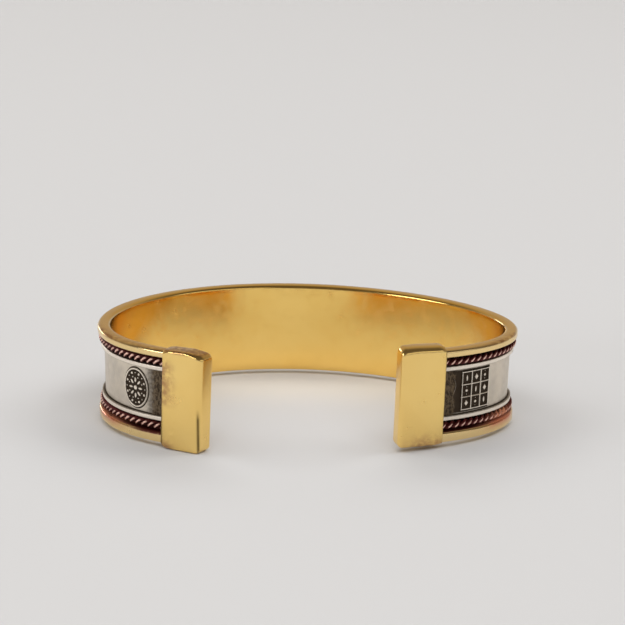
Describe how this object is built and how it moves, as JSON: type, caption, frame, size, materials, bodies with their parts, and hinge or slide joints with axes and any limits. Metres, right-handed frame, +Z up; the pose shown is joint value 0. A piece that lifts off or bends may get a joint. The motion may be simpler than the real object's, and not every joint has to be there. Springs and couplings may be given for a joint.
{
  "type": "cuff bracelet",
  "caption": "Open cuff bracelet: gold channel band holding a silver plate with raised ornament between twisted copper wires, a sleeve over each end.",
  "frame": {"origin": "middle of the bracelet's box in plan, on the surface that it stands on", "axes": "+Z up across the band's height, the opening towards -Y, +X to the right seen from the opening"},
  "size_m": [0.064, 0.0446, 0.0161],
  "materials": {
    "gold": "polished gold-coloured brass, lightly worn",
    "gold_cap": "polished gold-coloured sheet with fine scratches and dings",
    "silver": "satin silver, oxidised dark in the grounds of its relief and near the ends",
    "copper": "twisted copper wire, bright on the crowns and dark in the hollows"
  },
  "bodies": {
    "root": {"gold_band": "gold", "silver_band": "silver", "copper_rope_upper": "copper", "copper_rope_lower": "copper", "end_cap_left": "gold_cap", "end_cap_right": "gold_cap"}
  },
  "joints": []
}
